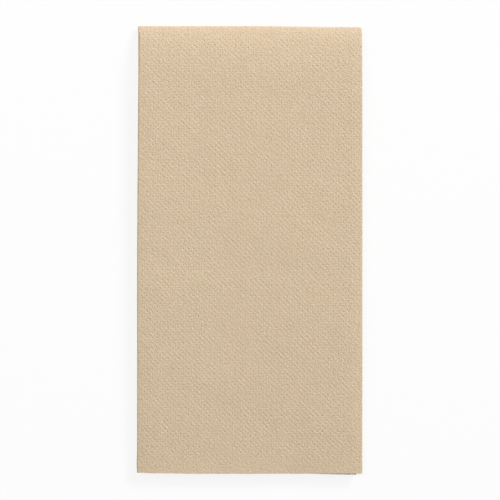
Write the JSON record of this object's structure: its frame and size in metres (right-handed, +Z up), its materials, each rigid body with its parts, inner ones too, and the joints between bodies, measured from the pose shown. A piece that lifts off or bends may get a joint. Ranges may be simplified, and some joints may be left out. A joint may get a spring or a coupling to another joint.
{
  "type": "folded paper napkin",
  "caption": "Square embossed tissue napkin folded lengthwise and then across into a flat oblong, with one rounded cross fold, nested long folds and open cut ends",
  "frame": {"origin": "centre of the bounding box in X and Y, on the ground in Z", "axes": "X across the folded width, the nested closed edge towards -X; Y along the folded length, the cross fold towards +Y and the cut ends towards -Y; Z up"},
  "size_m": [0.1, 0.1992, 0.0054],
  "materials": {
    "tissue": "soft matt, micro-embossed"
  },
  "bodies": {
    "root": {"folded_napkin": "tissue"}
  },
  "joints": []
}
